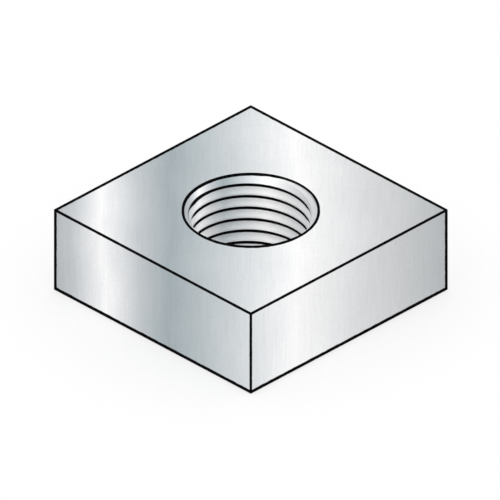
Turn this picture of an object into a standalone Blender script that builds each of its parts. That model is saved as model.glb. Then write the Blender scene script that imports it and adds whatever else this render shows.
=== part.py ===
"""Square nut with a fine M10 x 1 through thread, modelled as the one piece of steel that it is.

Units are metres, +Z runs up the thread's axis, and the origin is the middle of the bottom face.
The flats face +X, -X, +Y and -Y. Run with: blender --background --python part.py
"""

import math

import bmesh
import bpy
from mathutils import Matrix

MM = 0.001

# Square body
ACROSS_FLATS = 20.6 * MM
THICKNESS = 7.0 * MM
EDGE_RADIUS = 0.05 * MM
EDGE_SEGMENTS = 3

# Thread, ISO metric form: 60 degrees between flanks, right hand
NOMINAL_DIAMETER = 10.0 * MM
PITCH = 1.0 * MM
FLANK_SLOPE = math.tan(math.radians(30))
CREST_SHARE = 1 / 4
ROOT_SHARE = 1 / 8
FLANK_SHARE = (1 - CREST_SHARE - ROOT_SHARE) / 2
THREAD_DEPTH = FLANK_SHARE * PITCH / FLANK_SLOPE

# Countersink at both ends of the bore
COUNTERSINK_OVERSIZE = 0.1 * MM
COUNTERSINK_ANGLE = math.radians(90)

# Facets around the bore, and how far a cutter runs on past what it cuts
BORE_SEGMENTS = 96
CUTTER_OVERRUN = 0.4 * MM
WELD_DISTANCE = 0.0001 * MM

MAJOR_RADIUS = NOMINAL_DIAMETER / 2
MINOR_RADIUS = MAJOR_RADIUS - THREAD_DEPTH
COUNTERSINK_RADIUS = MAJOR_RADIUS + COUNTERSINK_OVERSIZE / 2


def clear_scene():
    """Empties the scene of every object it starts with."""
    for obj in list(bpy.data.objects):
        bpy.data.objects.remove(obj, do_unlink=True)


def new_collection(name):
    """A collection linked to the scene."""
    collection = bpy.data.collections.new(name)
    bpy.context.scene.collection.children.link(collection)
    return collection


def object_from_bmesh(name, bm, collection):
    """Turns bm into an object in the collection, and frees bm."""
    mesh = bpy.data.meshes.new(name)
    bm.to_mesh(mesh)
    bm.free()
    obj = bpy.data.objects.new(name, mesh)
    collection.objects.link(obj)
    return obj


def zinc_plated_steel():
    """Bright zinc plate with a pale blue cast over steel."""
    material = bpy.data.materials.new("zinc_plated_steel")
    material.use_nodes = True
    shader = material.node_tree.nodes["Principled BSDF"]
    shader.inputs["Base Color"].default_value = (0.66, 0.69, 0.71, 1.0)
    shader.inputs["Metallic"].default_value = 1.0
    shader.inputs["Roughness"].default_value = 0.32
    return material


def square_blank(collection):
    """The square block before it is drilled and tapped, with its edges just broken."""
    bm = bmesh.new()
    centre = Matrix.Translation((0, 0, THICKNESS / 2))
    size = Matrix.Diagonal((ACROSS_FLATS, ACROSS_FLATS, THICKNESS, 1))
    bmesh.ops.create_cube(bm, size=1.0, matrix=centre @ size)
    blank = object_from_bmesh("square_nut", bm, collection)
    bevel = blank.modifiers.new("broken_edges", "BEVEL")
    bevel.width = EDGE_RADIUS
    bevel.segments = EDGE_SEGMENTS
    bevel.limit_method = "NONE"
    return blank


def thread_profile():
    """One pitch of the nut's thread as (radius, height) points, from its top end to its bottom end.

    It starts where a crest's lower edge turns into the flank below it.
    """
    root_top = 1 - FLANK_SHARE
    root_bottom = root_top - ROOT_SHARE
    return [
        (MINOR_RADIUS, PITCH),
        (MAJOR_RADIUS, root_top * PITCH),
        (MAJOR_RADIUS, root_bottom * PITCH),
        (MINOR_RADIUS, CREST_SHARE * PITCH),
        (MINOR_RADIUS, 0.0),
    ]


def thread_sweep(collection, start_height, turns):
    """The helical surface that one pitch of thread sweeps out in the given number of turns."""
    bm = bmesh.new()
    points = [bm.verts.new((radius, 0, start_height + height)) for radius, height in thread_profile()]
    for upper, lower in zip(points, points[1:]):
        bm.edges.new((upper, lower))
    sweep = object_from_bmesh("thread_cutter", bm, collection)
    screw = sweep.modifiers.new("right_hand_helix", "SCREW")
    screw.axis = "Z"
    screw.angle = math.tau
    screw.screw_offset = PITCH
    screw.iterations = turns
    screw.steps = BORE_SEGMENTS
    screw.render_steps = BORE_SEGMENTS
    return sweep


def thread_cutter(collection):
    """A closed solid shaped like a tap, which reaches past both faces of the nut."""
    lead_in_turns = 2
    turns = math.ceil(THICKNESS / PITCH) + lead_in_turns + 1
    start_height = -lead_in_turns * PITCH
    cutter = thread_sweep(collection, start_height, turns)
    graph = bpy.context.evaluated_depsgraph_get()
    swept = bpy.data.meshes.new_from_object(cutter.evaluated_get(graph))
    cutter.modifiers.clear()
    bm = bmesh.new()
    bm.from_mesh(swept)
    bpy.data.meshes.remove(swept)
    bmesh.ops.remove_doubles(bm, verts=bm.verts, dist=WELD_DISTANCE)
    close_on_axis(bm, middle_height=THICKNESS / 2)
    bmesh.ops.recalc_face_normals(bm, faces=bm.faces)
    bm.to_mesh(cutter.data)
    bm.free()
    return cutter


def close_on_axis(bm, middle_height):
    """Draws the open rim at each end of the sweep in to a point on the thread's axis."""
    rim = [edge for edge in bm.edges if edge.is_boundary]
    above = [edge for edge in rim if edge.verts[0].co.z > middle_height]
    below = [edge for edge in rim if edge.verts[0].co.z <= middle_height]
    for edges in (above, below):
        heights = [vert.co.z for edge in edges for vert in edge.verts]
        tip = (0, 0, (min(heights) + max(heights)) / 2)
        extruded = bmesh.ops.extrude_edge_only(bm, edges=edges)["geom"]
        drawn_in = [item for item in extruded if isinstance(item, bmesh.types.BMVert)]
        bmesh.ops.pointmerge(bm, verts=drawn_in, merge_co=tip)


def countersink_cutter(name, collection, face_height, outward):
    """A cone that opens the bore towards one face. outward is 1 for the top face and -1 for the bottom one."""
    slope = math.tan(COUNTERSINK_ANGLE / 2)
    inner_radius = MINOR_RADIUS - CUTTER_OVERRUN
    outer_radius = COUNTERSINK_RADIUS + CUTTER_OVERRUN
    depth = (outer_radius - inner_radius) / slope
    outer_height = face_height + outward * CUTTER_OVERRUN / slope
    place = Matrix.Translation((0, 0, outer_height - outward * depth / 2))
    half_facet = Matrix.Rotation(math.pi / BORE_SEGMENTS, 4, "Z")
    upper_radius, lower_radius = (outer_radius, inner_radius)[::outward]
    bm = bmesh.new()
    bmesh.ops.create_cone(
        bm,
        cap_ends=True,
        segments=BORE_SEGMENTS,
        radius1=lower_radius,
        radius2=upper_radius,
        depth=depth,
        matrix=place @ half_facet,
    )
    return object_from_bmesh(name, bm, collection)


def cut(body, cutter):
    """Takes the cutter's shape out of the body, and leaves the cutter as a hidden guide."""
    boolean = body.modifiers.new(cutter.name, "BOOLEAN")
    boolean.operation = "DIFFERENCE"
    boolean.solver = "EXACT"
    boolean.object = cutter
    cutter.hide_render = True
    cutter.display_type = "WIRE"


def smooth_bore(body):
    """Settles the body's modifiers into its mesh, and shades the thread and the edges smooth."""
    graph = bpy.context.evaluated_depsgraph_get()
    mesh = bpy.data.meshes.new_from_object(body.evaluated_get(graph))
    body.modifiers.clear()
    body.data = mesh
    mesh.name = body.name
    mesh.shade_smooth()
    mesh.set_sharp_from_angle(angle=math.radians(28))


def build_nut():
    """The finished nut: blank, countersinks, then thread."""
    nut_parts = new_collection("square_nut")
    cutters = new_collection("cutters")
    nut = square_blank(nut_parts)
    cut(nut, countersink_cutter("top_countersink", cutters, THICKNESS, 1))
    cut(nut, countersink_cutter("bottom_countersink", cutters, 0.0, -1))
    cut(nut, thread_cutter(cutters))
    smooth_bore(nut)
    nut.data.materials.clear()
    nut.data.materials.append(zinc_plated_steel())
    return nut


clear_scene()
build_nut()
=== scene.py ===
"""Square nut with a fine M10 x 1 thread, dressed in its plate and lit for its picture.

Units are metres. +Z runs up the thread's axis, the origin is the middle of the bottom face, and the
flats face +X, -X, +Y and -Y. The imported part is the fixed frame, and the finer nut lies in its place.
"""

import logging
import math
from collections.abc import Callable, Iterator
from contextlib import contextmanager
from dataclasses import dataclass
from enum import Enum
from functools import reduce
from typing import Union

import bpy
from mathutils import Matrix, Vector


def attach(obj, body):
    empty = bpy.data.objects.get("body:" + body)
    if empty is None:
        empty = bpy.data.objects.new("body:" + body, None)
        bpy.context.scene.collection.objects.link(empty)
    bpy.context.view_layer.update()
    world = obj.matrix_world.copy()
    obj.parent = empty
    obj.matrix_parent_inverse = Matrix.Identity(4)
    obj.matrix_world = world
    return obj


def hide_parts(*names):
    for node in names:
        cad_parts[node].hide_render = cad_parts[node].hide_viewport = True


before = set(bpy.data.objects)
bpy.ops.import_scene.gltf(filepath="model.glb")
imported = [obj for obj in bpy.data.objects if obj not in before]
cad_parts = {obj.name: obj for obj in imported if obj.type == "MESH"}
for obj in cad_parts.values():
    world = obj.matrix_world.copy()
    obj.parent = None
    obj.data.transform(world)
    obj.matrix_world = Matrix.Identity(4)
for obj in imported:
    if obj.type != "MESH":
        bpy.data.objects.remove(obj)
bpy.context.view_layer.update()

MM = 0.001
BODY = "root"
CAD_NODE = "square_nut"
DISPLAY_GAMMA = 2.2

Tree = bpy.types.NodeTree
Piece = bpy.types.Object
Material = bpy.types.Material
Colour = tuple[float, float, float, float]
Amount = Union["Wire", float]
Chooser = Callable[[bpy.types.bpy_struct], bool]

log = logging.getLogger("square_nut")


class Facing(Enum):
    """Which way a face of the nut looks along the thread's axis."""

    UP = 1
    DOWN = -1


class Part(Enum):
    """What is picked in a mesh: its select mode and the mesh's list of it. The name is the bevel tool's."""

    VERTICES = ("VERT", "vertices")
    EDGES = ("EDGE", "edges")


class PaintedReflectionTone(Enum):
    """How bright one band of the painted reflection is, as a display colour."""

    BRIGHT = (0.998, 0.998, 1.0)
    SILVER = (0.845, 0.85, 0.855)
    SATIN = (0.772, 0.79, 0.805)
    GREY = (0.715, 0.73, 0.738)
    BLUE_GREY = (0.645, 0.688, 0.706)


@dataclass(frozen=True)
class PaintedReflectionBand:
    """One band of the painted reflection, painted into the plate's colour.

    Attributes:
        place: Where it lies along the diagonal, from -1 at one end of the bands to 1 at the other.
        tone: How bright it is there.
    """

    place: float
    tone: PaintedReflectionTone


# Painted reflection: bright and dull bands painted into the plate's colour, from corner to corner across the
# diagonal.
PAINTED_REFLECTION_BANDS = (
    PaintedReflectionBand(-1.0, PaintedReflectionTone.GREY),
    PaintedReflectionBand(-0.89, PaintedReflectionTone.SATIN),
    PaintedReflectionBand(-0.75, PaintedReflectionTone.BRIGHT),
    PaintedReflectionBand(-0.57, PaintedReflectionTone.SATIN),
    PaintedReflectionBand(-0.41, PaintedReflectionTone.BLUE_GREY),
    PaintedReflectionBand(0.23, PaintedReflectionTone.BRIGHT),
    PaintedReflectionBand(0.62, PaintedReflectionTone.SILVER),
    PaintedReflectionBand(1.0, PaintedReflectionTone.GREY),
)


@dataclass(frozen=True)
class Wire:
    """The value that a node puts out. Arithmetic on it adds Math nodes to the same tree.

    Attributes:
        bench: Where the node lies.
        socket: The node's output.
    """

    bench: "NodeBench"
    socket: bpy.types.NodeSocket

    def __add__(self, other: Amount) -> "Wire":
        """Adds another value to it."""
        return self.bench.math("ADD", self, other)

    def __sub__(self, other: Amount) -> "Wire":
        """Takes another value away from it."""
        return self.bench.math("SUBTRACT", self, other)

    def __rsub__(self, other: float) -> "Wire":
        """Takes it away from a number."""
        return self.bench.math("SUBTRACT", other, self)

    def __mul__(self, other: Amount) -> "Wire":
        """Multiplies it by another value."""
        return self.bench.math("MULTIPLY", self, other)

    def __truediv__(self, other: Amount) -> "Wire":
        """Divides it by another value."""
        return self.bench.math("DIVIDE", self, other)

    def beside(self, output: str) -> "Wire":
        """Picks another output of the same node."""
        return Wire(self.bench, self.socket.node.outputs[output])


class NodeBench:
    """Lays out shader nodes in one tree and wires them up."""

    def __init__(self, tree: Tree) -> None:
        """Takes the tree that the nodes go into: a material's, a world's or a group's."""
        self.tree = tree

    def feed(self, socket: bpy.types.NodeSocket, value: object) -> None:
        """Links a wire to an input, or sets the input's own value.

        Args:
            socket: The input that takes the value.
            value: A wire, a number, a vector or a colour.
        """
        if isinstance(value, Wire):
            self.tree.links.new(value.socket, socket)
        else:
            socket.default_value = value

    def lay(self, kind: str, feeds: dict, output: int | str = 0, **settings: object) -> Wire:
        """Adds one node.

        Args:
            kind: The node's type, without its ShaderNode in front.
            feeds: The values of its inputs, by their names or numbers.
            output: The name or number of the output that is wanted.
            **settings: Values for the node's own properties.

        Returns:
            The wanted output.
        """
        node = self.tree.nodes.new(f"ShaderNode{kind}")
        for name, value in settings.items():
            setattr(node, name, value)
        for label, value in feeds.items():
            self.feed(node.inputs[label], value)
        return Wire(self, node.outputs[output])

    def math(self, operation: str, *values: Amount, clamp: bool = False) -> Wire:
        """Adds a Math node, whose result can be kept from 0 to 1."""
        return self.lay("Math", dict(enumerate(values)), operation=operation, use_clamp=clamp)

    def vector_math(self, operation: str, *values: object, output: str = "Vector") -> Wire:
        """Adds a Vector Math node, which puts out a Vector or a Value."""
        return self.lay("VectorMath", dict(enumerate(values)), output, operation=operation)

    def least(self, *values: Amount) -> Wire:
        """Picks the smallest of some values."""
        return reduce(lambda first, second: self.math("MINIMUM", first, second), values)

    def most(self, *values: Amount) -> Wire:
        """Picks the largest of some values."""
        return reduce(lambda first, second: self.math("MAXIMUM", first, second), values)

    def rise(self, value: Wire, start: Amount, end: Amount) -> Wire:
        """Rises softly from 0, where the value is start, to 1, where it is end."""
        feeds = {"Value": value, "From Min": start, "From Max": end}
        return self.lay("MapRange", feeds, interpolation_type="SMOOTHSTEP")

    def fade(self, value: Wire, start: Amount, end: Amount) -> Wire:
        """Fades softly from 1, where the value is start, to 0, where it is end."""
        return 1.0 - self.rise(value, start, end)

    def spread(self, value: Wire, low: float, high: float) -> Wire:
        """Stretches a value from 0 to 1 over the range from low to high."""
        return self.lay("MapRange", {"Value": value, "To Min": low, "To Max": high})

    def noise(self, place: Wire, size: float, detail: float = 3.0, roughness: float = 0.5) -> Wire:
        """Adds a noise pattern around 0.5, of a size in metres. Detail counts the finer layers in it."""
        feeds = {"Vector": place, "Scale": 1 / size, "Detail": detail, "Roughness": roughness}
        return self.lay("TexNoise", feeds, noise_dimensions="3D")

    def mix(self, share: Amount, first: object, second: object, blend: str = "MIX") -> Wire:
        """Mixes two colours.

        Args:
            share: How much of the second one shows.
            first: The one underneath.
            second: The one laid over it.
            blend: How they are mixed.

        Returns:
            The mixed colour.
        """
        first_input, second_input, colour_output = 6, 7, 2
        feeds = {"Factor": share, first_input: first, second_input: second}
        return self.lay("Mix", feeds, colour_output, data_type="RGBA", blend_type=blend)

    def gamma(self, colour: Wire, power: float) -> Wire:
        """Raises a colour to a power."""
        return self.lay("Gamma", {"Color": colour, "Gamma": power})

    def split(self, vector: Wire) -> tuple[Wire, Wire, Wire]:
        """Takes a vector apart."""
        x = self.lay("SeparateXYZ", {0: vector})
        return x, x.beside("Y"), x.beside("Z")

    def turned(self, place: Wire, angle: float) -> Wire:
        """Turns coordinates about the Z axis."""
        return self.lay("Mapping", {"Vector": place, "Rotation": (0.0, 0.0, angle)}, vector_type="POINT")

    def bump(self, height: Wire, depth: float) -> Wire:
        """Makes a relief, as deep as is given where its height is 1."""
        return self.lay("Bump", {"Strength": 1.0, "Distance": depth, "Height": height})

    def ray(self, kind: str) -> Wire:
        """Gives 1 for rays of one kind, such as Camera, and 0 for the rest."""
        return self.lay("LightPath", {}, f"Is {kind} Ray")

    def seen_ray(self) -> Wire:
        """Gives 1 for the rays that show a surface, and 0 for those that only carry its light."""
        return self.most(self.ray("Camera"), self.ray("Glossy"), self.ray("Transmission"))

    def use(self, group: Tree, **values: object) -> Wire:
        """Places a group and picks its first output. Inputs are named with an underscore for each space."""
        feeds = {name.replace("_", " "): value for name, value in values.items()}
        return self.lay("Group", feeds, node_tree=group)


class MaterialBench(NodeBench):
    """Lays out the nodes of one new material around its shader."""

    def __init__(self, name: str) -> None:
        """Makes the material. Only its metal mirrors, so that what is black in it stays black.

        Args:
            name: The material's name.
        """
        self.material = bpy.data.materials.new(name)
        self.material.use_nodes = True
        super().__init__(self.material.node_tree)
        self.feed_shader(Specular_IOR_Level=0.0)

    def feed_shader(self, **values: object) -> None:
        """Feeds the shader's inputs.

        Args:
            **values: Wires or plain values by the inputs' names, with an underscore for each space.
        """
        shader = self.tree.nodes["Principled BSDF"]
        for name, value in values.items():
            self.feed(shader.inputs[name.replace("_", " ")], value)

    def place(self) -> Wire:
        """Reads the object's own coordinates, in metres."""
        return self.lay("TexCoord", {}, "Object")


class Effect:
    """A shader node group that several finishes share. It has a Place input and named number inputs."""

    def __init__(
        self, name: str, numbers: tuple[str, ...], results: tuple[str, ...], kind: str = "Float"
    ) -> None:
        """Makes the empty group.

        Args:
            name: The group's name.
            numbers: The names of its number inputs.
            results: The names of its outputs.
            kind: The type of its outputs: Float or Color.
        """
        self.tree = bpy.data.node_groups.new(name, "ShaderNodeTree")
        sockets = [("Place", "INPUT", "Vector")]
        sockets += [(label, "INPUT", "Float") for label in numbers]
        sockets += [(label, "OUTPUT", kind) for label in results]
        for label, way, socket_kind in sockets:
            self.tree.interface.new_socket(label, in_out=way, socket_type=f"NodeSocket{socket_kind}")
        self.bench = NodeBench(self.tree)
        given = self.tree.nodes.new("NodeGroupInput").outputs
        self.place, *self.numbers = (Wire(self.bench, given[label]) for label in ("Place", *numbers))
        self.results = self.tree.nodes.new("NodeGroupOutput").inputs

    def give(self, *values: Wire) -> Tree:
        """Sends results to the group's outputs, in order.

        Args:
            *values: The results.

        Returns:
            The finished group.
        """
        for socket, value in zip(self.results, values):
            self.bench.feed(socket, value)
        return self.tree


class NutPlace:
    """A place on the nut, and the ways to measure where that is."""

    def __init__(self, place: Wire, nut: "SquareNut") -> None:
        """Takes the place apart.

        Args:
            place: Its coordinates, in metres.
            nut: The nut that it lies on.
        """
        self.nut = nut
        self.bench = place.bench
        self.whole = place
        self.x, self.y, self.z = self.bench.split(place)

    def level(self) -> Wire:
        """Drops the place to the height of the origin."""
        return self.bench.vector_math("MULTIPLY", self.whole, (1.0, 1.0, 0.0))

    def from_axis(self) -> Wire:
        """Measures how far it is from the thread's axis."""
        return self.bench.vector_math("LENGTH", self.level(), output="Value")

    def from_faces(self) -> Wire:
        """Measures how far it is from the nearer of the top and bottom faces."""
        return self.bench.least(self.z, self.nut.thickness - self.z)

    def towards_front(self) -> Wire:
        """Tells which side of the thread's axis it is on.

        Returns:
            1 towards the nut's front corner at +X and -Y, 0 at the sides and -1 towards the back one.
        """
        front = (math.sqrt(0.5), -math.sqrt(0.5), 0.0)
        way = self.bench.vector_math("NORMALIZE", self.level())
        return self.bench.vector_math("DOT_PRODUCT", way, front, output="Value")


class ThreadPlace(NutPlace):
    """A place in the nut's bore, and where it lies on the thread. Shares are shares of the pitch."""

    soft = 0.03

    def __init__(self, place: Wire, nut: "SquareNut") -> None:
        """Measures what the thread's masks all need.

        Args:
            place: The coordinates, in metres.
            nut: The nut whose thread it is.
        """
        most_aside = 0.5
        super().__init__(place, nut)
        turned = self.bench.math("ARCTAN2", self.y, self.x) * (1 / math.tau)
        self.climbed = self.bench.math("FRACT", self.z / nut.pitch - turned)
        self.from_face = self.from_faces()
        ahead = self.bench.math("ABSOLUTE", self.towards_front())
        self.aside = self.bench.least(1.0 - ahead, most_aside)

    def threaded(self) -> Wire:
        """Tells the thread from the two countersinks.

        Returns:
            A mask, 0 on a countersink's cone and 1 a little deeper than it.
        """
        cone_margin = 0.02 * MM
        cone_blend = 0.08 * MM
        cone = (self.nut.countersink_radius - self.from_axis()) / self.nut.countersink_slope
        return self.bench.rise(self.from_face - cone, cone_margin, cone_blend)

    def painted_corner_shade(self, threaded: Wire) -> Wire:
        """Finds where shade is painted along the crest's lower corner.

        At the bore's two sides the crest hides the root behind it, so the corner grows taller there.
        Where a countersink has taken the crest away, the corner lies along the countersink's lower end.

        Args:
            threaded: 0 on a countersink and 1 on the thread.

        Returns:
            A mask, 1 where shade is painted on the corner.
        """
        below = 0.06
        height = 0.08
        side_growth = 0.14
        cone_start = 0.36 * MM
        cone_end = 0.46 * MM
        nut = self.nut
        past_crest = self.from_axis() - nut.minor_radius
        cut_in = self.bench.math("DIVIDE", past_crest, nut.major_radius - nut.minor_radius, clamp=True)
        lowered = cut_in * (1.0 - threaded) * nut.flank_share + below
        past_corner = self.bench.math("FRACT", self.climbed + lowered)
        end = self.aside * self.aside * side_growth + (below + height)
        corner = self.bench.fade(past_corner, end, end + self.soft)
        return corner * self.bench.most(threaded, self.bench.rise(self.from_face, cone_start, cone_end))

    def painted_root_shade(self, threaded: Wire) -> Wire:
        """Finds where shade is painted in the root and on the foot of the flank below it, which grows taller
        at the two sides.

        Args:
            threaded: 0 on a countersink and 1 on the thread.

        Returns:
            A mask, 1 where shade is painted in the root. It fades out where the thread runs out at a face.
        """
        foot_power = 1.5
        foot_height = 0.015
        whole_start = 0.5 * MM
        whole_end = 1.05 * MM
        runout_start = 0.1 * MM
        runout_end = 0.55 * MM
        root_bottom = self.nut.crest_share + self.nut.flank_share
        root_top = root_bottom + self.nut.root_share
        whole = self.bench.rise(self.from_face, whole_start, whole_end)
        growth = self.bench.math("POWER", self.aside, foot_power) * whole
        foot_end = growth * -self.nut.flank_share + (root_bottom - foot_height)
        foot = self.bench.rise(self.climbed, foot_end - self.soft, foot_end)
        ceiling = self.bench.fade(self.climbed, root_top, root_top + self.soft)
        return foot * ceiling * self.bench.rise(self.from_face, runout_start, runout_end) * threaded

    def tool_marks(self) -> Wire:
        """Makes the fine lines that the tap left, which run around the bore.

        Returns:
            The marks' value, around 0.5.
        """
        mark_size = 0.07 * MM
        around = 1 / 30
        drawn = self.bench.vector_math("MULTIPLY", self.whole, (around, around, 1.0))
        return self.bench.noise(drawn, mark_size, detail=2.0)


class EffectShelf:
    """The effects that a nut's finishes share, each built once.

    Attributes:
        nut: The nut whose sizes they follow.
        painted_reflection: Soft bright and dull bands of painted reflection across the nut's diagonal.
        edge_lines: A thin near-black line painted along the square body's edges, a painted dark reflection.
        rim_line: The same painted line around the bore's rim.
        grain: Fine grain and soft clouds in the plate.
        hairlines: Sparse fine scratches.
    """

    def __init__(self, nut: "SquareNut") -> None:
        """Builds every effect.

        Args:
            nut: The nut.
        """
        self.nut = nut
        self.painted_reflection = self.build_painted_reflection()
        self.edge_lines = self.build_painted_edge_lines()
        self.rim_line = self.build_painted_rim_line()
        self.grain = self.build_grain()
        self.hairlines = self.build_hairlines()

    def build_painted_reflection(self) -> Tree:
        """Builds the painted reflection: bright and dull bands painted from corner to corner.

        Returns:
            A group that turns Place and Reach into the plate's Color.
        """
        wander_size = 6 * MM
        wander_share = 0.05
        effect = Effect("sheen_bands", ("Reach",), ("Color",), kind="Color")
        bench = effect.bench
        (reach,) = effect.numbers
        x, y, _ = bench.split(effect.place)
        wander = bench.noise(effect.place, wander_size, detail=1.0)
        along = (x + y) * math.sqrt(0.5) / reach + bench.spread(wander, -wander_share, wander_share)
        bands = bench.lay("ValToRGB", {0: (along + 1.0) / 2})
        stops = bands.socket.node.color_ramp.elements
        while len(stops) < len(PAINTED_REFLECTION_BANDS):
            stops.new(1.0)
        for stop, band in zip(stops, PAINTED_REFLECTION_BANDS):
            stop.position = (band.place + 1) / 2
            stop.color = (*band.tone.value, 1.0)
        return effect.give(bench.gamma(bands, DISPLAY_GAMMA))

    def build_painted_edge_lines(self) -> Tree:
        """Builds the painted dark line along the edges of the square block, a painted dark reflection.

        The top, +X and -Y faces are the block's front. They carry a wider line where they end at the back
        and at the floor, so that the block's outline is as strong as the ridges inside it. The two faces
        at the back carry none along the top, where the top face's own line is that wide.

        Returns:
            A group that gives a Mask, 1 on an edge and 0 from Width on, or from Outline on where it is wider.
        """
        front_reach = 0.06 * MM
        half = self.nut.across_flats / 2
        thickness = self.nut.thickness
        effect = Effect("edge_lines", ("Width", "Outline"), ("Mask",))
        bench = effect.bench
        width, outline_width = effect.numbers
        x, y, z = bench.split(effect.place)
        from_right = half - x
        from_left = x + half
        from_near = y + half
        from_far = half - y
        from_top = thickness - z
        to_front = bench.least(from_right, from_near, from_top)
        to_back = bench.least(from_left, from_far, z)
        at_front = bench.math("LESS_THAN", to_front, front_reach)
        to_x = bench.least(from_right, from_left)
        to_y = bench.least(from_near, from_far)
        to_z = bench.least(z, from_top + (1.0 - at_front) * thickness)
        to_edge = bench.most(bench.least(to_x, to_y), bench.least(bench.most(to_x, to_y), to_z))
        ridges = self.painted_dark_line(effect.place, to_edge, width)
        outline = self.painted_dark_line(effect.place, to_back, outline_width)
        return effect.give(bench.most(ridges, outline * at_front))

    def build_painted_rim_line(self) -> Tree:
        """Builds the painted dark line around the bore's rim, at the top face and at the bottom one.

        Returns:
            A group that gives a Mask, 1 on the rim and 0 from Width on, outwards and down into the bore.
            Towards the front corner the width changes to Lip Width.
        """
        effect = Effect("rim_line", ("Width", "Lip Width"), ("Mask",))
        bench = effect.bench
        width, lip_width = effect.numbers
        spot = NutPlace(effect.place, self.nut)
        outwards = bench.math("ABSOLUTE", spot.from_axis() - self.nut.countersink_radius)
        gap = bench.most(outwards, spot.from_faces())
        forward = bench.most(spot.towards_front(), 0.0)
        return effect.give(self.painted_dark_line(effect.place, gap, forward * (lip_width - width) + width))

    @staticmethod
    def painted_dark_line(place: Wire, gap: Wire, width: Wire) -> Wire:
        """Turns a distance into a painted dark line with a slightly uneven border.

        Args:
            place: The coordinates, in metres.
            gap: The distance from the line's middle.
            width: How far the line reaches from its middle.

        Returns:
            The line's mask.
        """
        notch_size = 0.5 * MM
        unevenness = 0.15
        core_share = 0.85
        bench = place.bench
        uneven = bench.spread(bench.noise(place, notch_size), 1 - unevenness, 1 + unevenness)
        reach = width * uneven
        return bench.fade(gap, reach * core_share, reach)

    def build_grain(self) -> Tree:
        """Builds the plate's fine grain, the drawn streaks in it and the clouds over it.

        Returns:
            A group that gives Grain, Streaks and Clouds, each around 0.5.
        """
        grain_size = 0.16 * MM
        streak_size = 0.14 * MM
        streak_stretch = 22
        streak_turn = -math.pi / 4
        cloud_size = 3.5 * MM
        effect = Effect("plate_grain", (), ("Grain", "Streaks", "Clouds"))
        bench = effect.bench
        drawn_out = (1.0, 1 / streak_stretch, 1 / streak_stretch)
        drawn = bench.vector_math("MULTIPLY", bench.turned(effect.place, streak_turn), drawn_out)
        return effect.give(
            bench.noise(effect.place, grain_size, roughness=0.6),
            bench.noise(drawn, streak_size, roughness=0.55),
            bench.noise(effect.place, cloud_size, roughness=0.55),
        )

    def build_hairlines(self) -> Tree:
        """Builds sparse fine scratches, straight and in a few directions on every face.

        Returns:
            A group that gives a Mask, 1 in a scratch.
        """
        turns = (0.3, 1.2, 2.0, 2.75)
        effect = Effect("hairlines", (), ("Mask",))
        flat = self.unfolded(effect.place)
        return effect.give(effect.bench.most(*(self.scratches(flat, turn) for turn in turns)))

    def unfolded(self, place: Wire) -> Wire:
        """Lays the block's faces out flat, so that a two-way pattern runs true on each of them.

        Args:
            place: The coordinates, in metres.

        Returns:
            The place along and across each face.
        """
        near_face = 0.03 * MM
        spot = NutPlace(place, self.nut)
        on_face = place.bench.math("LESS_THAN", spot.from_faces(), near_face)
        on_side = 1.0 - on_face
        along = spot.x + on_side * spot.y
        across = on_face * spot.y + on_side * spot.z
        return place.bench.lay("CombineXYZ", {"X": along, "Y": across})

    @staticmethod
    def scratches(flat: Wire, turn: float) -> Wire:
        """Makes the scratches that run in one direction.

        Args:
            flat: The place along and across each face.
            turn: How far the scratches are turned there.

        Returns:
            Their mask.
        """
        cell_length = 30 * MM
        cell_width = 1 * MM
        reach = 0.04
        shown_from = 0.8
        bench = flat.bench
        stretch = (1 / cell_length, 1 / cell_width, 0.0)
        cells = bench.vector_math("MULTIPLY", bench.turned(flat, turn), stretch)
        cells = bench.vector_math("ADD", cells, (turn, turn, 0.0))
        away = bench.lay("TexVoronoi", {"Vector": cells, "Scale": 1.0}, voronoi_dimensions="2D", feature="F1")
        chance = bench.lay("SeparateColor", {0: away.beside("Color")})
        return bench.fade(away, 0.0, reach) * bench.math("GREATER_THAN", chance, shown_from)


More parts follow.
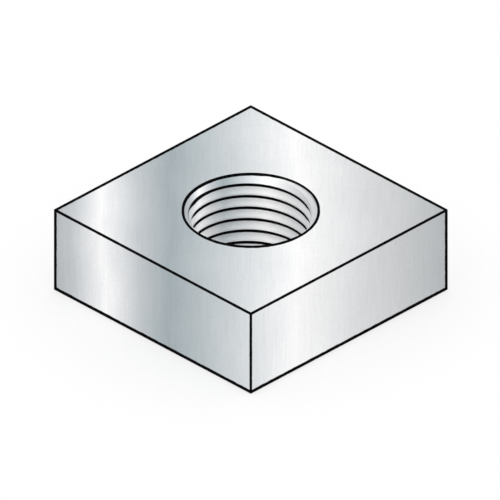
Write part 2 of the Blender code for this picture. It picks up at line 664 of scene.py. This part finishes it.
@dataclass(frozen=True)
class ZincPlate:
    """Bright zinc plate with a pale blue cast, satin, on the nut's flat faces and broken edges, with painted
    reflection bands and a painted dark line along its edges.

    Attributes:
        painted_edge_colour: Colour of the line painted along the edges and the rim, a painted dark
            reflection.
        edge_width: How far the painted line reaches from an edge.
        outline_width: How far it reaches where a front face ends at the back or at the floor.
        rim_width: How far it reaches from the bore's rim.
        lip_width: How far it reaches from the rim at the front.
        edge_dullness: How much duller the painted line is.
        roughness: Spread of the roughness, dullest last.
        streak_dullness: How much the streaks change it.
        grain_depth: Height of the plate's grain.
        grain_tone: How much the grain changes the brightness.
        cloud_tones: Spread of the brightness from cloud to cloud.
        scratch_colour: Colour down in a scratch.
        scratch_share: How much of that colour shows.
        scratch_depth: Depth of a scratch, as a share of the grain's height.
    """

    painted_edge_colour: Colour = (0.004, 0.004, 0.0045, 1.0)
    edge_width: float = 0.155 * MM
    outline_width: float = 0.35 * MM
    rim_width: float = 0.065 * MM
    lip_width: float = 0.4 * MM
    edge_dullness: float = 0.3
    roughness: tuple[float, float] = (0.24, 0.36)
    streak_dullness: float = 0.35
    grain_depth: float = 0.006 * MM
    grain_tone: float = 0.16
    cloud_tones: tuple[float, float] = (0.95, 1.03)
    scratch_colour: Colour = (0.34, 0.355, 0.37, 1.0)
    scratch_share: float = 0.22
    scratch_depth: float = 0.5

    def make(self, shelf: EffectShelf) -> Material:
        """Builds the material.

        Args:
            shelf: The shared effects.

        Returns:
            The finished material.
        """
        bench = MaterialBench("bright_zinc_plate")
        place = bench.place()
        # Painted reflection: bright and dull bands painted into the plate's colour.
        painted_reflection = bench.use(shelf.painted_reflection, Place=place, Reach=shelf.nut.half_diagonal)
        grain = bench.use(shelf.grain, Place=place)
        streaks = grain.beside("Streaks")
        clouds = grain.beside("Clouds")
        scratch = bench.use(shelf.hairlines, Place=place)
        # A near-black line painted along the edges and around the rim, a painted dark reflection.
        edges = bench.use(shelf.edge_lines, Place=place, Width=self.edge_width, Outline=self.outline_width)
        rim = bench.use(shelf.rim_line, Place=place, Width=self.rim_width, Lip_Width=self.lip_width)
        painted_outline = bench.most(edges, rim)
        relief = grain + streaks
        tone = ((relief - 1.0) * self.grain_tone + 1.0) * bench.spread(clouds, *self.cloud_tones)
        colour = bench.mix(1.0, painted_reflection, tone, blend="MULTIPLY")
        colour = bench.mix(scratch * self.scratch_share, colour, self.scratch_colour)
        dull = clouds + painted_outline * self.edge_dullness + (streaks - 0.5) * self.streak_dullness
        bench.feed_shader(
            Base_Color=bench.mix(painted_outline, colour, self.painted_edge_colour),
            Metallic=1.0 - painted_outline,
            Roughness=bench.spread(dull, *self.roughness),
            Normal=bench.bump(relief - scratch * self.scratch_depth, self.grain_depth),
        )
        return bench.material


@dataclass(frozen=True)
class CutThread:
    """Plated thread, with painted reflection bands and with shade painted down in the roots and along the
    crests' lower corners.

    Attributes:
        painted_dark_colour: Colour of the painted shade in the roots and under the crests, and of the painted
            line at the rim.
        paleness: Power that the painted reflection bands' brightness is raised to on the thread, paler below
            1.
        roughness: Spread of the roughness, dullest last.
        line_dullness: How much duller the painted shade lines are.
        rim_width: How far the painted line reaches from the bore's rim.
        lip_width: How far it reaches from the rim at the front.
        bounce: Its colour as it lights the rest of the bore, so that the bands show there as they are given.
        bounce_metal: How metallic it is as it does so.
        tool_mark_depth: Height of the marks that the tap left along the thread.
        tones: Spread of the brightness that those marks give, and the plate's grain as well.
    """

    painted_dark_colour: Colour = (0.004, 0.004, 0.0045, 1.0)
    paleness: float = 0.6
    roughness: tuple[float, float] = (0.5, 0.62)
    line_dullness: float = 0.4
    rim_width: float = 0.155 * MM
    lip_width: float = 0.05 * MM
    bounce: Colour = (0.99, 0.99, 0.99, 1.0)
    bounce_metal: float = 0.5
    tool_mark_depth: float = 0.006 * MM
    tones: tuple[float, float] = (0.97, 1.05)

    def make(self, shelf: EffectShelf) -> Material:
        """Builds the material.

        Args:
            shelf: The shared effects.

        Returns:
            The finished material.
        """
        bench = MaterialBench("plated_cut_thread")
        place = bench.place()
        # Painted reflection: the same bands painted across the bore.
        painted_reflection = bench.use(shelf.painted_reflection, Place=place, Reach=shelf.nut.countersink_radius)
        grain = bench.use(shelf.grain, Place=place)
        # A near-black line painted around the rim, a painted dark reflection.
        rim = bench.use(shelf.rim_line, Place=place, Width=self.rim_width, Lip_Width=self.lip_width)
        thread = ThreadPlace(place, shelf.nut)
        threaded = thread.threaded()
        marks = thread.tool_marks()
        # Painted shade: near-black lines painted in the roots and along the crests' lower corners.
        line = bench.most(thread.painted_corner_shade(threaded), thread.painted_root_shade(threaded))
        dark = bench.most(line, rim)
        tone = bench.spread(marks, *self.tones) * bench.spread(grain, *self.tones)
        colour = bench.mix(threaded, painted_reflection, bench.gamma(painted_reflection, self.paleness))
        colour = bench.mix(1.0, colour, tone, blend="MULTIPLY")
        colour = bench.mix(dark, colour, self.painted_dark_colour)
        shown = bench.ray("Camera")
        bench.feed_shader(
            Base_Color=bench.mix(shown, self.bounce, colour),
            Metallic=(1.0 - dark) * bench.spread(shown, self.bounce_metal, 1.0),
            Roughness=bench.spread(marks + line * self.line_dullness, *self.roughness),
            Normal=bench.bump(marks, self.tool_mark_depth),
        )
        return bench.material


@dataclass(frozen=True)
class StudioWhite:
    """Plain white paint of the floor, which shows white to the camera and keeps the nut's shadow.

    Attributes:
        glow: How much of the white that the camera sees is even. The rest is paint, which takes the shadow.
        mirrored_glow: The same for the white that the metal mirrors.
        lighting: Its paint as it lights the nut.
    """

    glow: float = 0.65
    mirrored_glow: float = 1.0
    lighting: float = 0.85

    def make(self) -> Material:
        """Builds the material.

        Returns:
            The finished material.
        """
        bench = MaterialBench("studio_white")
        shown = bench.seen_ray()
        glow = bench.spread(bench.ray("Glossy"), self.glow, self.mirrored_glow)
        bench.feed_shader(
            Base_Color=(1.0 - glow) * shown + (1.0 - shown) * self.lighting,
            Roughness=1.0,
            Emission_Color=glow * shown,
            Emission_Strength=1.0,
        )
        return bench.material


def take_only(piece: Piece) -> None:
    """Deselects everything, then selects one object and makes it the active one.

    Args:
        piece: The object to select.
    """
    bpy.ops.object.select_all(action="DESELECT")
    piece.select_set(True)
    bpy.context.view_layer.objects.active = piece


def add_new(name: str, tool: Callable, **settings: object) -> Piece:
    """Adds a new object, with nothing else selected.

    Args:
        name: The object's name.
        tool: The operator that adds it.
        **settings: The operator's own settings.

    Returns:
        The new object.
    """
    bpy.ops.object.select_all(action="DESELECT")
    tool(**settings)
    piece = bpy.context.object
    piece.name = name
    return piece


def settle_place(piece: Piece) -> None:
    """Moves an object's place, turn and scale into its mesh."""
    take_only(piece)
    bpy.ops.object.transform_apply(location=True, rotation=True, scale=True)


def work_on(piece: Piece, name: str, kind: str, **settings: object) -> None:
    """Gives an object a modifier and applies it.

    Args:
        piece: The object.
        name: The modifier's name.
        kind: The modifier's type.
        **settings: Values for the modifier's own properties.
    """
    modifier = piece.modifiers.new(name, kind)
    for key, value in settings.items():
        setattr(modifier, key, value)
    take_only(piece)
    bpy.ops.object.modifier_apply(modifier=name)


@contextmanager
def editing(piece: Piece, part: Part = Part.VERTICES, action: str = "SELECT") -> Iterator[None]:
    """Keeps an object in edit mode for the lines under it.

    Args:
        piece: The object to edit.
        part: What is picked in its mesh.
        action: What happens to its selection first: SELECT picks all of it and DESELECT nothing.

    Yields:
        Nothing, once the mesh is open.
    """
    select_mode, _ = part.value
    take_only(piece)
    bpy.ops.object.mode_set(mode="EDIT")
    bpy.ops.mesh.select_mode(type=select_mode)
    bpy.ops.mesh.select_all(action=action)
    yield
    bpy.ops.object.mode_set(mode="OBJECT")


def pick(piece: Piece, part: Part, wanted: Chooser) -> None:
    """Picks in an open mesh only what is wanted.

    Args:
        piece: The object in edit mode.
        part: What is picked in its mesh.
        wanted: Tells for one vertex or one edge whether it is wanted.
    """
    _, listed = part.value
    bpy.ops.object.mode_set(mode="OBJECT")
    for element in getattr(piece.data, listed):
        element.select = wanted(element)
    bpy.ops.object.mode_set(mode="EDIT")


def round_off(piece: Piece, part: Part, wanted: Chooser, radius: float, steps: int) -> None:
    """Rounds off corners or edges of an object.

    Args:
        piece: The object.
        part: What is rounded off: vertices or edges.
        wanted: Tells for one of them whether it is rounded off.
        radius: How far the rounding reaches.
        steps: Facets around it.
    """
    with editing(piece, part, action="DESELECT"):
        pick(piece, part, wanted)
        bpy.ops.mesh.bevel(offset=radius, segments=steps, affect=part.name)


@dataclass
class SquareNut:
    """The nut: a square block with broken edges, countersunk and tapped through its middle.

    Attributes:
        across_flats: Width of the square.
        thickness: Height of the nut.
        edge_radius: Radius of the broken edges.
        edge_steps: Facets around a broken edge.
        major_radius: Radius at the bottom of the thread.
        pitch: How far the thread climbs in a turn.
        crest_share: The crest's flat, as a share of the pitch.
        root_share: The root's flat, as a share of the pitch.
        crest_round: How far a crest's corners are rounded off.
        countersink_radius: Radius of the countersinks at the faces.
        countersink_angle: Angle between a countersink's sides.
        rim_round: How far the countersink's rim is rounded off.
        round_steps: Facets around a rounded crest or rim.
        bore_steps: Facets around the bore.
        overrun: How far a cutter runs on past what it cuts.
        weld: Points closer than this are one point.
    """

    across_flats: float = 20.6 * MM
    thickness: float = 7.0 * MM
    edge_radius: float = 0.05 * MM
    edge_steps: int = 4
    major_radius: float = 5.0 * MM
    pitch: float = 1.0 * MM
    crest_share: float = 1 / 4
    root_share: float = 1 / 8
    crest_round: float = 0.035 * MM
    countersink_radius: float = 5.05 * MM
    countersink_angle: float = math.radians(90)
    rim_round: float = 0.04 * MM
    round_steps: int = 3
    bore_steps: int = 180
    overrun: float = 0.4 * MM
    weld: float = 0.0001 * MM

    @property
    def half_diagonal(self) -> float:
        """Distance from the axis to a corner."""
        return self.across_flats / math.sqrt(2)

    @property
    def flank_share(self) -> float:
        """One flank's height, as a share of the pitch."""
        return (1 - self.crest_share - self.root_share) / 2

    @property
    def minor_radius(self) -> float:
        """Radius at the thread's crests, from flanks 60 degrees apart."""
        return self.major_radius - self.flank_share * self.pitch / math.tan(math.radians(30))

    @property
    def countersink_slope(self) -> float:
        """How much wider a countersink gets for each metre towards its face."""
        return math.tan(self.countersink_angle / 2)

    def build(self) -> Piece:
        """Models the whole nut.

        Returns:
            The finished mesh object, without its finishes.
        """
        nut = self.blank()
        self.cut(nut, self.countersink(self.thickness, Facing.UP))
        self.cut(nut, self.countersink(0.0, Facing.DOWN))
        self.cut(nut, self.tap())
        round_off(nut, Part.EDGES, lambda edge: self.on_rim(nut.data, edge), self.rim_round, self.round_steps)
        self.shade(nut)
        return nut

    def blank(self) -> Piece:
        """Models the block before it is drilled, with its edges broken.

        Returns:
            The block.
        """
        middle = (0.0, 0.0, self.thickness / 2)
        flatten = self.thickness / self.across_flats
        cube = bpy.ops.mesh.primitive_cube_add
        block = add_new("tapped_square_body", cube, size=self.across_flats, location=middle)
        with editing(block):
            bpy.ops.transform.resize(value=(1.0, 1.0, flatten), center_override=middle)
            bpy.ops.mesh.bevel(offset=self.edge_radius, segments=self.edge_steps, affect="EDGES")
        settle_place(block)
        return block

    def countersink(self, face_height: float, facing: Facing) -> Piece:
        """Models the cone that opens the bore towards one face.

        Args:
            face_height: Height of the face.
            facing: Which way the face looks.

        Returns:
            The cutter.
        """
        outward = facing.value
        inner_radius = self.minor_radius - self.overrun
        outer_radius = self.countersink_radius + self.overrun
        depth = (outer_radius - inner_radius) / self.countersink_slope
        outer_height = face_height + outward * self.overrun / self.countersink_slope
        lower_radius, upper_radius = (inner_radius, outer_radius)[::outward]
        cone = add_new(
            "countersink_cutter",
            bpy.ops.mesh.primitive_cone_add,
            vertices=self.bore_steps,
            radius1=lower_radius,
            radius2=upper_radius,
            depth=depth,
            location=(0.0, 0.0, outer_height - outward * depth / 2),
            rotation=(0.0, 0.0, math.pi / self.bore_steps),
        )
        settle_place(cone)
        return cone

    def thread_outline(self) -> list[Vector]:
        """Lists the corners of one pitch of thread, from the middle of one crest down to the next.

        Returns:
            The corners in the XZ plane, top end first.
        """
        crest = self.crest_share * self.pitch
        root_top = (1 - self.flank_share) * self.pitch
        root_bottom = root_top - self.root_share * self.pitch
        corners = (
            (self.minor_radius, self.pitch + crest / 2),
            (self.minor_radius, self.pitch),
            (self.major_radius, root_top),
            (self.major_radius, root_bottom),
            (self.minor_radius, crest),
            (self.minor_radius, crest / 2),
        )
        return [Vector((radius, 0.0, height)) for radius, height in corners]

    def tap(self) -> Piece:
        """Models a closed solid shaped like a tap, which reaches past both faces of the nut.

        Returns:
            The cutter.
        """
        lead_in_turns = 2
        turns = math.ceil(self.thickness / self.pitch) + lead_in_turns + 1
        start = Vector((0.0, 0.0, -lead_in_turns * self.pitch))
        tap = self.draw_line("thread_cutter", [start + corner for corner in self.thread_outline()])
        ends = (0, len(tap.data.vertices) - 1)
        round_off(
            tap, Part.VERTICES, lambda point: point.index not in ends, self.crest_round, self.round_steps
        )
        work_on(
            tap,
            "right_hand_helix",
            "SCREW",
            axis="Z",
            angle=math.tau,
            screw_offset=self.pitch,
            iterations=turns,
            steps=self.bore_steps,
            render_steps=self.bore_steps,
        )
        self.close_ends(tap)
        return tap

    def draw_line(self, name: str, corners: list[Vector]) -> Piece:
        """Draws an open line from corner to corner with the extrude tool.

        Args:
            name: The new object's name.
            corners: The line's points in order.

        Returns:
            The line's object, settled at the origin.
        """
        line = add_new(name, bpy.ops.mesh.primitive_plane_add, size=self.pitch, location=corners[0])
        with editing(line):
            bpy.ops.mesh.merge(type="CENTER")
            for last, corner in zip(corners, corners[1:]):
                bpy.ops.mesh.extrude_region_move(TRANSFORM_OT_translate={"value": corner - last})
        settle_place(line)
        return line

    def close_ends(self, tap: Piece) -> None:
        """Welds the turns of the sweep, and draws the open rim at each end in to a point.

        Args:
            tap: The swept thread.
        """
        with editing(tap, Part.EDGES):
            bpy.ops.mesh.remove_doubles(threshold=self.weld)
            for above in (True, False):
                self.pick_open_rim(tap, above)
                bpy.ops.mesh.extrude_edges_move()
                bpy.ops.mesh.merge(type="CENTER")
            bpy.ops.mesh.select_all(action="SELECT")
            bpy.ops.mesh.normals_make_consistent(inside=False)

    def pick_open_rim(self, tap: Piece, above: bool) -> None:
        """Picks the open edges at one end of the sweep.

        Args:
            tap: The swept thread, in edit mode.
            above: True for the upper end and False for the lower one.
        """
        bpy.ops.mesh.select_all(action="DESELECT")
        bpy.ops.mesh.select_non_manifold(
            use_wire=False, use_boundary=True, use_multi_face=False, use_non_contiguous=False, use_verts=False
        )
        middle = self.thickness / 2
        pick(
            tap,
            Part.EDGES,
            lambda edge: edge.select and (tap.data.vertices[edge.vertices[0]].co.z > middle) == above,
        )

    @staticmethod
    def cut(body: Piece, cutter: Piece) -> None:
        """Takes a cutter's shape out of a body, and removes the cutter."""
        work_on(body, cutter.name, "BOOLEAN", operation="DIFFERENCE", solver="EXACT", object=cutter)
        bpy.data.objects.remove(cutter, do_unlink=True)

    def on_rim(self, mesh: bpy.types.Mesh, edge: bpy.types.MeshEdge) -> bool:
        """Tells whether an edge lies on a rim, where a countersink meets a flat face.

        Args:
            mesh: The cut nut's mesh.
            edge: One of its edges.

        Returns:
            True for an edge of either rim.
        """
        near = 0.02 * MM
        ends = [mesh.vertices[index].co for index in edge.vertices]
        at_radius = all(abs(end.xy.length - self.countersink_radius) < near for end in ends)
        return at_radius and all(min(abs(end.z), abs(end.z - self.thickness)) < self.weld for end in ends)

    @staticmethod
    def shade(nut: Piece) -> None:
        """Shades the roundings smooth, and keeps the large faces flat.

        Args:
            nut: The modelled nut.
        """
        sharp_angle = math.radians(28)
        full_weight = 100
        take_only(nut)
        bpy.ops.object.shade_smooth_by_angle(angle=sharp_angle)
        work_on(
            nut,
            "flat_faces_stay_flat",
            "WEIGHTED_NORMAL",
            mode="FACE_AREA",
            weight=full_weight,
            keep_sharp=True,
        )

    def dress(self, nut: Piece, plate: Material, thread: Material) -> None:
        """Gives the bore's faces the thread's finish, and the rest the plate.

        Args:
            nut: The modelled nut.
            plate: The finish of the outside.
            thread: The finish of the bore.
        """
        flat = 0.99
        nut.data.materials.clear()
        nut.data.materials.append(plate)
        nut.data.materials.append(thread)
        for face in nut.data.polygons:
            in_bore = face.center.xy.length < self.countersink_radius and abs(face.normal.z) < flat
            face.material_index = int(in_bore)


@dataclass
class Studio:
    """White floor, even white surroundings, one soft key light and the camera.

    Attributes:
        floor_side: Side of the square floor.
        floor_drop: How far it lies under the nut, so that the two faces don't share one place.
        world_seen: Brightness of the surroundings to the camera and in reflections.
        world_light: Brightness of the surroundings as they light the nut.
        key_strength: Strength of the key light.
        key_softness: Angle that the key light fills, seen from the nut.
        key_azimuth: Where the key light stands, turned from -Y towards +X.
        key_elevation: How high the key light stands.
        azimuth: Where the camera stands, turned from -Y towards +X.
        elevation: How high the camera stands.
        distance: How far the camera stands from the nut.
        nearest: Nearest that the camera sees.
        farthest: Farthest that it sees.
        frame_width: Width of the view at the nut.
        aim_right: How far right of the view's middle the top face's middle lies.
        aim_up: How far above the view's middle it lies.
    """

    floor_side: float = 6.0
    floor_drop: float = 0.02 * MM
    world_seen: float = 1.0
    world_light: float = 0.97
    key_strength: float = 0.25
    key_softness: float = math.radians(90)
    key_azimuth: float = math.radians(25)
    key_elevation: float = math.radians(60)
    azimuth: float = math.radians(45)
    elevation: float = math.radians(32)
    distance: float = 0.4
    nearest: float = 0.01
    farthest: float = 10.0
    frame_width: float = 36.94 * MM
    aim_right: float = 0.06 * MM
    aim_up: float = 3.01 * MM

    @staticmethod
    def direction(azimuth: float, elevation: float) -> Vector:
        """Works out the way from the nut to a lamp or the camera, as a vector one metre long."""
        level = math.cos(elevation)
        return Vector((math.sin(azimuth) * level, -math.cos(azimuth) * level, math.sin(elevation)))

    def lay_floor(self, finish: StudioWhite) -> None:
        """Lays the floor that the nut stands on.

        Args:
            finish: The floor's paint.
        """
        place = (0.0, 0.0, -self.floor_drop)
        plane = bpy.ops.mesh.primitive_plane_add
        floor = add_new("studio_floor", plane, size=self.floor_side, location=place)
        floor.data.materials.append(finish.make())

    def surround(self) -> None:
        """Sets the even white surroundings."""
        white = (1.0, 1.0, 1.0, 1.0)
        world = bpy.data.worlds.new("studio_surround")
        world.use_nodes = True
        bpy.context.scene.world = world
        bench = NodeBench(world.node_tree)
        background = world.node_tree.nodes["Background"].inputs
        background["Color"].default_value = white
        bench.feed(background["Strength"], bench.spread(bench.seen_ray(), self.world_light, self.world_seen))

    def hang_key(self) -> None:
        """Hangs the soft key light."""
        way = self.direction(self.key_azimuth, self.key_elevation)
        lamp = add_new("key_light", bpy.ops.object.light_add, type="SUN", location=way * self.distance)
        lamp.data.energy = self.key_strength
        lamp.data.angle = self.key_softness
        lamp.rotation_euler = (-way).to_track_quat("-Z", "Y").to_euler()

    def set_camera(self, nut: SquareNut) -> None:
        """Sets up the scene's camera, with a parallel view.

        Args:
            nut: The nut that it looks at.
        """
        way = self.direction(self.azimuth, self.elevation)
        turn = (-way).to_track_quat("-Z", "Y")
        right = turn @ Vector((1.0, 0.0, 0.0))
        up = turn @ Vector((0.0, 1.0, 0.0))
        aim = Vector((0.0, 0.0, nut.thickness)) - right * self.aim_right - up * self.aim_up
        stand = aim + way * self.distance
        tool = bpy.ops.object.camera_add
        camera = add_new("product_camera", tool, location=stand, rotation=turn.to_euler())
        camera.data.type = "ORTHO"
        camera.data.ortho_scale = self.frame_width
        camera.data.clip_start = self.nearest
        camera.data.clip_end = self.farthest
        bpy.context.scene.camera = camera

    def build(self, nut: SquareNut) -> None:
        """Sets up the whole studio around the nut.

        Args:
            nut: The nut that it is for.
        """
        self.lay_floor(StudioWhite())
        self.surround()
        self.hang_key()
        self.set_camera(nut)
        bpy.context.scene.view_settings.view_transform = "Standard"


def main() -> None:
    """Builds the nut, its finishes and the studio, in order."""
    logging.basicConfig(level=logging.INFO, format="%(name)s: %(message)s")
    maker = SquareNut()
    shelf = EffectShelf(maker)
    nut = maker.build()
    maker.dress(nut, ZincPlate().make(shelf), CutThread().make(shelf))
    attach(nut, BODY)
    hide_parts(CAD_NODE)
    log.info("%s: %d faces", nut.name, len(nut.data.polygons))
    Studio().build(maker)
    log.info("studio: floor, surroundings, key light and camera")


if __name__ == "__main__":
    main()
